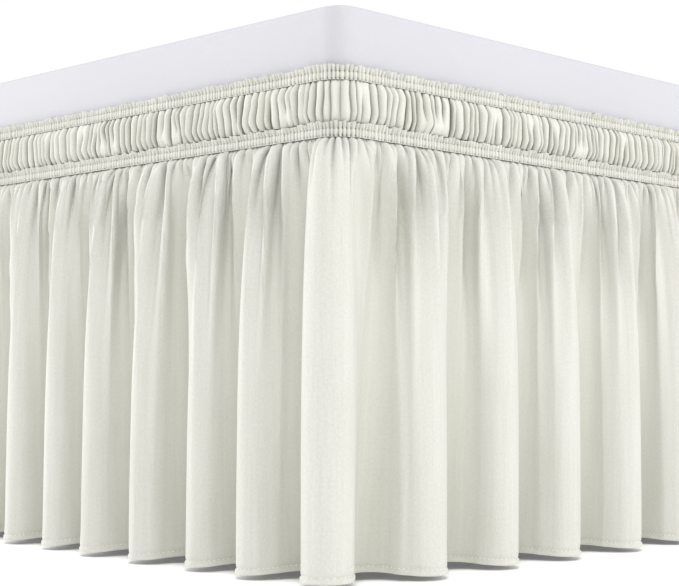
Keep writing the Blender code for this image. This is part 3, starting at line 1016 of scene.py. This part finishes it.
def make_band(name, seed):
    """A shirred band with its frill, in the place of the plain elastic ring."""
    low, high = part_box(name)
    random = np.random.default_rng(seed)
    number = np.repeat(np.arange(PLEATS), len(PLEAT_SHARES))
    share = np.tile(PLEAT_SHARES, PLEATS)
    rounded = np.tile(PLEAT_TOPS, PLEATS)
    widths = 1 + PLEAT_UNEVEN * either_way(random, PLEATS)
    edges = even_on_skirt(np.concatenate([[0], np.cumsum(widths)]))
    position = edges[number] * (1 - share) + edges[number + 1] * share
    tall = between(random, RIB_TALL, PLEATS)[number]
    ragged = (RAGGED * (random.random(PLEATS) - 0.5))[number]
    free = between(random, FRILL_FREE, PLEATS)[number]
    face = high.y - box_high.y - BAND_BACK
    rows, places, painted_shades = [], [], []
    for z, rib, valley, hollow in band_profile(high.z, low.z):
        loose = max(0.0, (z - high.z) / FRILL_HEIGHT + 1)
        offset = face + valley + (rib - valley) * rounded * tall * (1 + free * loose)
        x, y = on_plan(position, offset)
        rows.append(np.stack([x, y, z + ragged * loose], axis=1))
        places.append(np.stack([position * 2.2, np.full(len(x), z)], axis=1))
        # Painted shade: darkest in the valleys at a sewn row, some in every valley, little on a rib's top.
        painted_shades.append(hollow * (1 - rounded * (1 - 0.08 * hollow)))
    band = sheet_object(f"{name}_shirred", rows, places, painted_shades, BAND_CLOTH, closed=True)
    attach(band, "root")
    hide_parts(name)


make_band("upper_band", 5)
make_band("lower_band", 6)

# %% [markdown]
# ## The ruched heading
# Between the bands the cloth is free, so it rises into soft upright ruches. Each has a rounded crest, set
# to one side, between two sharp grooves that are not quite straight. Some grooves run out halfway, so that
# two ruches join into one. Close to either band every ruche is drawn into the finer pleats of the shirring,
# and round a corner the ruches lie flatter. They are made as the bands are, from one grid with its columns
# crowded beside the grooves, because an array of one ruche would repeat all too plainly.

# %% The ruched heading
RUCHE_PITCH = 0.0078
RUCHE_SHARES = np.array([0.0, 0.06, 0.15, 0.30, 0.5, 0.70, 0.85, 0.94])
RUCHE_ROWS = 13
RUCHE_RISE = 0.22  # share of the heading in which a ruche takes its full height
RUCHE_UNEVEN = 0.34  # how much the ruches' widths differ, as a share
RUCHE_CREST = (0.30, 0.40)  # where across a ruche its crest sits
RUCHE_TALL = (0.0044, 0.0026)
CORNER_FLATTER = 0.4  # share of its height that a ruche loses at a corner
CORNER_REACH = 0.04
GROOVE_SWAY = 0.0013
GROOVE_BEND = 0.0010
FADED = 0.24  # share of the grooves that run out
FADE = (0.6, 0.4)  # how much of its depth such a groove loses
PLEAT_HEIGHT = 0.0008  # of the finer pleats close to the bands
HEADING_BACK = 0.0058  # from the plain heading's face in to where a band pinches it
HEADING_FULLNESS = 1.7  # as for the bands, and a guess too


def between_ruches(values, number, share):
    """Values of the grooves on both sides of each column, blended by the column's share of the way."""
    ring = np.concatenate([values, values[:1]])
    return ring[number] * (1 - share) + ring[number + 1] * share


def make_heading():
    """The ruched ring of cloth between the bands."""
    low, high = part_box("heading")
    random = np.random.default_rng(21)
    ruches = round(GUIDE_LENGTH / RUCHE_PITCH)
    widths = 1 + RUCHE_UNEVEN * either_way(random, ruches)
    edges = even_on_skirt(np.concatenate([[0], np.cumsum(widths)]))
    number = np.repeat(np.arange(ruches), len(RUCHE_SHARES))
    share = np.tile(RUCHE_SHARES, ruches)
    crest = between(random, RUCHE_CREST, ruches)[number]
    shifted = np.where(share < 0.5, 2 * share * crest, crest + (1 - crest) * (2 * share - 1))
    along = edges[number] * (1 - shifted) + edges[number + 1] * shifted
    beside = np.minimum(shifted, 1 - shifted) * np.diff(edges)[number]
    middles = np.array(corner_middles())
    half = GUIDE_LENGTH / 2
    from_corner = np.abs(np.mod(along[:, None] - middles + half, GUIDE_LENGTH) - half)
    flatter = 1 - CORNER_FLATTER * np.exp(-((from_corner.min(axis=1) / CORNER_REACH) ** 2))
    tall = between(random, RUCHE_TALL, ruches)[number] * flatter
    drawn = np.sin(1.7 * np.cumsum(random.random(ruches) - 0.5) + np.arange(ruches) * 0.55)
    sway = between_ruches(GROOVE_SWAY * (drawn + 0.8 * either_way(random, ruches)), number, share)
    bend = between_ruches(either_way(random, ruches), number, share)
    fade = np.where(random.random(ruches) < FADED, between(random, FADE, ruches), 0.0)
    fade_end = random.integers(0, 2, ruches)
    pinch = high.y - box_high.y - HEADING_BACK
    rows, places, painted_shades = [], [], []
    for step in range(RUCHE_ROWS):
        down = step / (RUCHE_ROWS - 1)
        swell = min(1.0, math.sin(math.pi * down) / math.sin(math.pi * RUCHE_RISE)) ** 0.8
        z = high.z + (low.z - high.z) * down
        from_end = np.where(fade_end == 0, down, 1 - down)
        grooved = 1 - fade * np.clip(1.6 - 2.4 * from_end, 0, 1)
        grooved = between_ruches(grooved, number, share)
        profile = 1 - np.abs(2 * share - 1) ** 1.8
        wander = sway * math.sin(2 * math.pi * down) + GROOVE_BEND * bend * math.sin(math.pi * down)
        finer = PLEAT_HEIGHT * (1 - swell) * np.cos(2 * math.pi * along / PLEAT_PITCH)
        raised = tall * (profile * grooved + 0.75 * (1 - grooved))
        offset = pinch + 0.0010 * swell + raised * (0.35 + 0.65 * swell) + finer
        x, y = on_plan(along + wander, offset)
        rows.append(np.stack([x, y, np.full(len(x), z)], axis=1))
        places.append(np.stack([along * HEADING_FULLNESS, np.full(len(x), z)], axis=1))
        # Painted shade: a dark line down each groove and a little on a ruche's flanks, less where a groove
        # runs out or at a corner.
        line = np.exp(-((beside / 0.0009) ** 1.3))
        painted_shades.append(grooved * flatter * (0.80 * line + 0.34 * (1 - profile)))
    heading = sheet_object("heading_ruched", rows, places, painted_shades, BAND_CLOTH, closed=True)
    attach(heading, "root")
    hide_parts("heading")


make_heading()

# %% [markdown]
# ## The box spring and its legs
# The box is plain, so its finish is all in the cover: a cotton skin pulled tight over a firm frame. Its
# upright corners and its edges are softly rounded, and its sides give a little between them. Rings of
# points go round the box from the flat top, over the edge, down the side and in under it. One flat face
# closes either end. A cube with a bevel would do for the form, but the rings also let the sides give.

# %% The box spring and its legs
EDGE = 0.006  # rounding of the box's long edges
FLAT_INSET = 0.014  # from the box's side to the edge of its flat top
CORNER_STEPS = 12
SIDE_STEP = 0.030  # between points along the sides
GIVE = 0.0004  # how far a side is drawn in, as a share of its distance from the middle


def box_way():
    """Positions of points round the box, close together at its corners."""
    way = []
    for start, straight in zip(STARTS[::2], STRAIGHTS):
        steps = round(straight / SIDE_STEP)
        way += [start + straight * step / steps for step in range(steps)]
        way += [start + straight + CORNER_ARC * step / CORNER_STEPS for step in range(CORNER_STEPS)]
    return np.array(way)


def box_rings():
    """Rings from the edge of the flat top to that of the flat bottom: offset from the side, and height."""
    rings = [(-FLAT_INSET, box_high.z)]
    turns = [math.radians(angle) for angle in (90, 60, 30, 0)]
    rings += [(EDGE * (math.cos(t) - 1), box_high.z + EDGE * (math.sin(t) - 1)) for t in turns]
    heights = np.linspace(box_high.z - EDGE, box_low.z + EDGE, 10)[1:-1]
    rings += [(0.0, z) for z in heights]
    rings += [(EDGE * (math.cos(t) - 1), box_low.z + EDGE * (1 - math.sin(t))) for t in reversed(turns)]
    return rings + [(-FLAT_INSET, box_low.z)]


def make_box_cover():
    """The covered box, one closed skin."""
    way = box_way()
    count = len(way)
    verts = []
    for offset, z in box_rings():
        x, y = on_plan(way, np.full(count, offset))
        give = GIVE * np.sin(way * 9.0 + z * 30) * np.sin(way * 3.7) if offset == 0.0 else 0.0
        x, y = x * (1 - give), y * (1 - give / 2)
        verts.append(np.stack([x, y, np.full(count, z)], axis=1))
    faces = []
    for ring in range(len(verts) - 1):
        faces += grid_faces(ring * count, (ring + 1) * count, count, True).tolist()
    faces += [list(range(count)), list(range((len(verts) - 1) * count, len(verts) * count))[::-1]]
    mesh = bpy.data.meshes.new("box_spring_cover")
    mesh.from_pydata(np.concatenate(verts).tolist(), [], faces)
    mesh.shade_smooth()
    mesh.materials.append(COVER)
    cover = add_object("box_spring_cover", mesh)
    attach(cover, "root")
    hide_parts("box_spring")
    print("box cover", len(mesh.vertices), "points")


make_box_cover()
for name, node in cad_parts.items():
    if name.startswith("leg_"):
        node.data.materials.clear()
        node.data.materials.append(WOOD)

# %% [markdown]
# ## Sizes
# The finished skirt is meant to take up the same space as the plain part. Both boxes are printed.

# %% Sizes
dressed_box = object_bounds()
for plain, dressed in zip(plain_box, dressed_box):
    print("plain", [round(v, 3) for v in plain], "dressed", [round(v, 3) for v in dressed])
